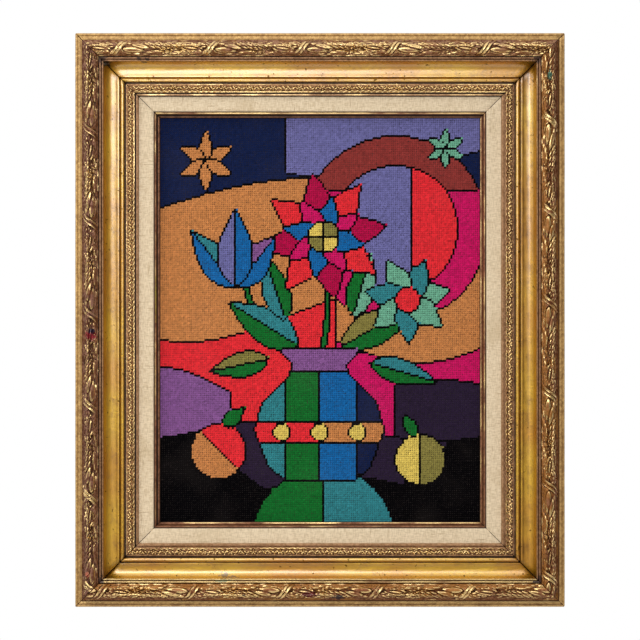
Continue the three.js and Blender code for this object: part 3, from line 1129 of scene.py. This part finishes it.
# %% Slip
BORDER = 102
SLIP_FACE = np.concatenate([
    eased([(87.5, 9), (87.5, 11), (95.1, 11), (95.1, 18.2)]),
    bow(6, (95.1, 18.2), (95.1, 19.4), (96.3, 19.4)),
    bow(12, (96.3, 19.4), (98.5, 19.4), (98.5, 10.8)),
    bow(6, (98.5, 10.8), (98.5, 11.6), (100, 11.6)),
    bow(10, (100, 11.6), (BORDER, 11.6), (BORDER, 9)),
])
SLIP_BACK = np.array([(BORDER, 9), (98, 9), (92, 9)])
SLIP_DIRT_AND_PAINTED_LIGHT = (
    # Painted shade in the gaps against the linen and the needlework, on the step of the top and
    # left sticks and on the top stick's low ridge; painted highlight on the low ridge of the right
    # and bottom sticks.
    (94.9, 95.5, 1.6, 1.8, 2, 1.6),  # against the linen
    (95.6, 97.4, -0.12, 0.1, 0.25, 0.1),  # the high ridge
    (97.6, 99.2, 1, 0.2, 0, 1.4),  # the step between
    (99.3, 101.3, 0.9, -0.3, -0.35, 0.2),  # the low ridge
    (101.4, 102.1, 1.6, 1.6, 1.2, 1.8),  # against the needlework
)


def slip_sway(along, section):
    return sway(along, 0.04, 31, section[:, 0]) * (section[:, 1] > 11.2)


for side, row in SIDES.items():
    stretches = [(SLIP_FACE, "slip bronze", 1), (SLIP_BACK, row["wood"], 0.1)]
    slip = stick(f"gilt_slip_{side}", side, stretches, 12.0, slip_sway, SLIP_DIRT_AND_PAINTED_LIGHT)
    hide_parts(f"slip_{side}")
print("slips: 4")

# %% [markdown]
# ## The needlework's chart
#
# Needlework is planned on a chart: one square, one stitch. The design is painted here
# as a stitcher would block it in, area over area, on a grid of 152 by 192 squares. Two
# rows more on every side run under the slip. The motifs are plain ones: a vase of
# flowers, fruit and stars before wavy fields. Wherever two areas meet, the last
# stitch of one is worked in black, which gives the whole its dark outlines. Where such
# a line turns a corner, the stitch inside the corner is left out, so it stays thin.

# %% Chart tools
STITCH = 2.54
STITCHES_ACROSS, STITCHES_UP = 152, 192
HEM = 2

column = np.arange(-HEM, STITCHES_ACROSS + HEM)[None, :] + 0.5
row_up = np.arange(-HEM, STITCHES_UP + HEM)[:, None] + 0.5
area = np.zeros((STITCHES_UP + 2 * HEM, STITCHES_ACROSS + 2 * HEM), int)
yarn_at = np.full(area.shape, "ochre", dtype="<U12")

YARN = {
    "black": tint(4, 3, 5),
    "aubergine": tint(44, 32, 54),
    "navy": tint(20, 32, 70),
    "lavender": tint(112, 110, 164),
    "violet": tint(136, 88, 146),
    "ochre": tint(202, 132, 76),
    "maroon": tint(144, 56, 52),
    "red": tint(232, 48, 56),
    "crimson": tint(180, 16, 70),
    "magenta": tint(206, 24, 98),
    "blue": tint(24, 102, 166),
    "teal": tint(52, 132, 140),
    "mint": tint(112, 176, 146),
    "green": tint(22, 110, 44),
    "olive": tint(138, 128, 66),
    "yellow": tint(226, 198, 96),
}


def work(shape, yarn):
    """Work an area in one yarn, over whatever is there."""
    area[shape] = area.max() + 1
    yarn_at[shape] = yarn


def disc(x, y, radius):
    return (column - x) ** 2 + (row_up - y) ** 2 < radius**2


def petal(x, y, direction, length, width, half=0):
    """A petal or leaf that starts at x, y. A half of 1 or -1 is one side of its rib."""
    turn = np.radians(direction)
    ahead = (column - x) * np.cos(turn) + (row_up - y) * np.sin(turn)
    aside = (row_up - y) * np.cos(turn) - (column - x) * np.sin(turn)
    belly = width / 2 * np.sin(np.pi * np.clip(ahead / length, 0, 1) ** 0.75)
    return (ahead > 0) & (ahead < length) & (abs(aside) < belly) & (aside * half >= 0)


def below(base, swell, period, shift):
    """Everything under a wavy line."""
    return row_up < base + swell * np.sin((column - shift) / period * 2 * np.pi)


def stem(x0, y0, x1, y1, bend):
    rise = np.clip((row_up - y0) / (y1 - y0), 0, 1)
    middle = x0 + (x1 - x0) * rise + bend * np.sin(np.pi * rise)
    return (abs(column - middle) < 1.3) & (row_up > y0) & (row_up < y1)


def leaf_in_two(x, y, direction, length, width, light, dark):
    """A leaf or petal with a rib, one yarn on each side of it."""
    work(petal(x, y, direction, length, width, 1), light)
    work(petal(x, y, direction, length, width, -1), dark)


def rosette(x, y, count, first, length, width, *yarns):
    """Petals all round a point, in each yarn by turns."""
    for k in range(count):
        work(petal(x, y, 360 / count * k + first, length, width), yarns[k % len(yarns)])


# %% [markdown]
# The wall and the table come first, then stems and leaves, the vase, the flowers, and
# last the fruit and the stars.

# %% Work the design
def fields():
    work(row_up > 150 + 14 * np.sin(column / 46), "navy")
    work((row_up > 172 + 8 * np.sin(column / 31 + 2)) & (column > 60), "lavender")
    sun = disc(112, 140, 44)
    work(sun, "magenta")
    work(sun & (row_up > 158), "maroon")
    work(disc(112, 140, 30), "lavender")
    work(disc(112, 140, 30) & (column > 120), "red")
    work(below(98, 12, 190, 60) & (column < 84), "red")
    work(below(86, 10, 150, 10) & (column > 84), "magenta")
    work(below(60, 8, 170, 90) & (column > 112), "aubergine")
    work(below(64, -10, 120, 30) & (column < 34), "violet")
    table = below(44, 5, 150, 20)
    work(table, "aubergine")
    work(table & (column + 1.3 * row_up < 70), "black")
    work(table & (column - 1.1 * row_up > 96), "black")
    work(below(18, 4, 110, 60), "black")
    mat = disc(78, -8, 34)
    work(mat & (row_up < 24), "green")
    work(mat & (column > 78), "teal")


def stems_and_leaves():
    for foot, tip, high, bend in (
        (70, 40, 118, -7), (76, 78, 128, 3), (82, 114, 104, 6), (72, 58, 96, -4), (80, 98, 92, 3)
    ):
        work(stem(foot, 74, tip, high, bend), "green")
    leaf_in_two(66, 84, 148, 40, 17, "green", "teal")
    leaf_in_two(86, 84, 28, 44, 16, "olive", "green")
    leaf_in_two(60, 96, 108, 34, 13, "teal", "green")
    leaf_in_two(92, 98, 74, 32, 13, "green", "mint")
    leaf_in_two(52, 78, 192, 30, 12, "green", "olive")
    leaf_in_two(100, 76, 344, 34, 12, "teal", "green")


def vase(middle):
    heights, half_widths = (20, 26, 44, 58, 70, 76, 80, 83), (16, 24, 31, 27, 14, 13, 18, 18)
    body = abs(column - middle) < np.interp(row_up, heights, half_widths, left=0, right=0)
    work(body, "blue")
    for edge, yarn in ((0, "green"), (-16, "teal")):
        work(body & (column < middle + edge), yarn)
    work(body & (column > middle + 18), "navy")
    band = body & (row_up > 38) & (row_up < 48)
    work(band, "red")
    work(band & (column > middle), "ochre")
    work(body & (row_up > 72), "violet")
    for aside in (-18, 0, 18):
        work(disc(middle + aside, 43, 4.2), "yellow")


def great_flower(x, y):
    rosette(x, y, 8, 10, 31, 15, "crimson", "red")
    rosette(x, y, 8, 32.5, 20, 10, "magenta", "blue")
    work(disc(x, y, 7.5), "yellow")
    work(disc(x, y, 7.5) & ((column > x) == (row_up > y)), "olive")


def tulip(x, y):
    leaf_in_two(x, y, 128, 34, 15, "blue", "teal")
    leaf_in_two(x, y, 52, 32, 15, "violet", "blue")
    leaf_in_two(x, y, 90, 38, 17, "lavender", "blue")


def daisy(x, y):
    rosette(x, y, 7, 14, 21, 12, "mint", "teal")
    work(disc(x, y, 6), "red")


def fruit(x, y, radius, yarn, shade, lean):
    work(disc(x, y, radius), yarn)
    work(disc(x, y, radius) & (column - x + (row_up - y) * lean > 0), shade)


def star(x, y, size, yarn):
    rosette(x, y, 6, 30, size, size * 0.42, yarn)


fields()
stems_and_leaves()
vase(76)
great_flower(78, 136)
tulip(36, 112)
daisy(118, 106)
fruit(28, 34, 13, "ochre", "red", lean=1)
work(petal(30, 46, 40, 14, 7), "green")
fruit(124, 30, 12, "yellow", "olive", lean=0)
work(petal(122, 41, 120, 12, 6), "green")
star(22, 172, 15, "ochre")
star(136, 178, 10, "mint")

edge = np.zeros(area.shape, bool)
edge[:, :-1] |= area[:, :-1] != area[:, 1:]
edge[:-1] |= area[:-1] != area[1:]
for down, aside in ((1, 1), (1, -1), (-1, 1), (-1, -1)):
    corner = np.roll(edge, down, 0) & np.roll(edge, aside, 1)
    edge &= ~(corner & ~np.roll(edge, -down, 0) & ~np.roll(edge, -aside, 1))
yarn_at[edge] = "black"
print("stitches:", yarn_at.size, "in", len(np.unique(yarn_at)), "yarns")

# %% [markdown]
# ## Tent stitch
#
# Each stitch is a short strand of wool that comes up through one hole of the canvas
# and goes down through the next one up and to the right. One strand is a little arched
# strip of six faces. It is copied to every square of the chart, each copy turned,
# shifted and swelled a little by chance, because hands never pull two stitches alike.
# The canvas is coloured nearly black between them, as painted shade in the holes.

# %% Wool and canvas finishes
def wool():
    yarn = Finish("tapestry_wool", Specular_IOR_Level=0.04)
    at = yarn.place()
    fuzz = yarn.noise(at, 1400, 3)
    fade = yarn.noise(at, 11, 3)
    dyed = yarn.attribute("yarn", "Color")
    colour = yarn.mix(dyed, tint(12, 9, 12), fuzz.rise(0.5, 0.75) * 0.2)
    colour = yarn.mix(colour, tint(190, 170, 160), fade.rise(0.5, 0.8) * 0.02)
    return yarn.wear(Base_Color=colour, Roughness=0.82 + fuzz * 0.12, Normal=yarn.bump(fuzz, 0.3))


def canvas_dark_as_shade():
    canvas = Finish("canvas_in_painted_shade")
    at = canvas.place()
    threads = canvas.noise(at * (1, 1, 12), 90, 2) + canvas.noise(at * (12, 1, 1), 90, 2)
    # Nearly black: the canvas is coloured as painted shade for the holes between stitches.
    colour = canvas.mix(tint(46, 36, 32), tint(26, 20, 20), threads.rise(0.8, 1.3))
    return canvas.wear(Base_Color=colour, Roughness=0.9, Normal=canvas.bump(threads, 0.15))


MATERIALS["wool"] = wool()
MATERIALS["canvas"] = canvas_dark_as_shade()

# %% Canvas sheet
CANVAS = {"hidden": 12.5, "back": 6.7, "front": 7.7, "grid": (44, 56)}


def canvas_sheet():
    """The canvas: a thin slab with a fine grid on both faces."""
    halves = WIDTH / 2 - BORDER + CANVAS["hidden"], HEIGHT / 2 - BORDER + CANVAS["hidden"]
    lines = [np.linspace(-half, half, cells + 1) for half, cells in zip(halves, CANVAS["grid"])]
    x, z = np.meshgrid(*lines)
    layers = []
    for height in (CANVAS["front"], CANVAS["back"]):
        layers.append(np.stack([x, np.full(x.shape, -height), z + MIDDLE], axis=-1) * MM)
    number = np.arange(x.size).reshape(x.shape)
    front = np.stack([number[:-1, :-1], number[:-1, 1:], number[1:, 1:], number[1:, :-1]], axis=-1)
    back = front[..., ::-1] + x.size
    rim = np.concatenate([number[0], number[1:, -1], number[-1, -2::-1], number[-2:0:-1, 0]])
    ahead = np.roll(rim, -1)
    sides = np.stack([rim, rim + x.size, ahead + x.size, ahead], axis=-1)
    faces = np.concatenate([front.reshape(-1, 4), back.reshape(-1, 4), sides])
    return piece("canvas_in_painted_shade", np.stack(layers), faces.tolist(), ["canvas"])


canvas = canvas_sheet()
canvas.data.set_sharp_from_angle(angle=CREASE)
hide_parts("needlepoint")
print("canvas", [round(size, 3) for size in canvas.dimensions])

# %% Stitches
STRAND_LENGTH = 3.5
STRAND_WIDTH = 2.45
STRAND_STATIONS = ((-1, 0.7, 7.7), (-0.42, 1, 8.5), (0.42, 1, 8.62), (1, 0.7, 7.7))
STRAND_EDGE_DROP = 0.45
ARCH_FOOT, ARCH_TOP = 8, 8.8


def strand():
    """One stitch lying level: its points (ahead, aside, height) and its faces."""
    points = []
    for ahead, width, height in STRAND_STATIONS:
        for side in (-1, 0, 1):
            aside = side * width * STRAND_WIDTH / 2
            points.append((ahead * STRAND_LENGTH / 2, aside, height - STRAND_EDGE_DROP * abs(side)))
    corners = [s * 3 + a for s in range(len(STRAND_STATIONS) - 1) for a in range(2)]
    return np.array(points), np.array([(c, c + 3, c + 4, c + 1) for c in corners])


def stitches(name, columns):
    """All the stitches of some columns of the chart, as one mesh."""
    points, faces = strand()
    up, across = np.meshgrid(np.arange(area.shape[0]), columns, indexing="ij")
    up, across = up.ravel(), across.ravel()
    count = len(up)

    def by_chance(spread, middle=0):
        return (middle + chance.normal(0, spread, count))[:, None]

    turn = np.radians(by_chance(6, middle=45))
    swell = by_chance(0.05, middle=1)
    ahead, aside = points[:, 0] * swell, points[:, 1] * swell
    x = (across - HEM + 0.5 - STITCHES_ACROSS / 2)[:, None] * STITCH + by_chance(0.12)
    z = (up - HEM + 0.5 - STITCHES_UP / 2)[:, None] * STITCH + by_chance(0.12)
    x = x + ahead * np.cos(turn) - aside * np.sin(turn)
    z = z + ahead * np.sin(turn) + aside * np.cos(turn)
    height = points[:, 2] + by_chance(0.05) * (points[:, 2] > ARCH_FOOT)
    height = np.minimum(height, ARCH_TOP)
    world_points = np.stack([x, -height, z + MIDDLE], axis=-1) * MM
    every = (np.arange(count)[:, None, None] * len(points) + faces).reshape(-1, 4)
    made = piece(name, world_points, every.tolist(), ["wool"])

    colours = np.array([YARN[yarn] for yarn in yarn_at[up, across]])
    colours = colours * by_chance(0.09, middle=1)
    each_point = np.repeat(np.c_[colours, np.ones(count)], len(points), axis=0)
    layer = made.data.color_attributes.new("yarn", "FLOAT_COLOR", "POINT")
    layer.data.foreach_set("color", np.clip(each_point, 0, 1).astype(np.float32).ravel())

    flat = world_points.reshape(-1, 3)[every.ravel()][:, (0, 2)]
    lay_map(made, (flat - flat.min(0)) / np.ptp(flat, axis=0).max() * 0.98 + 0.01)
    return made


halves = np.array_split(np.arange(area.shape[1]), 2)
worked = [stitches(f"stitches_{side}", half) for side, half in zip(("left", "right"), halves)]
for made in worked:
    print(made.name, 2 * len(made.data.polygons), "triangles")
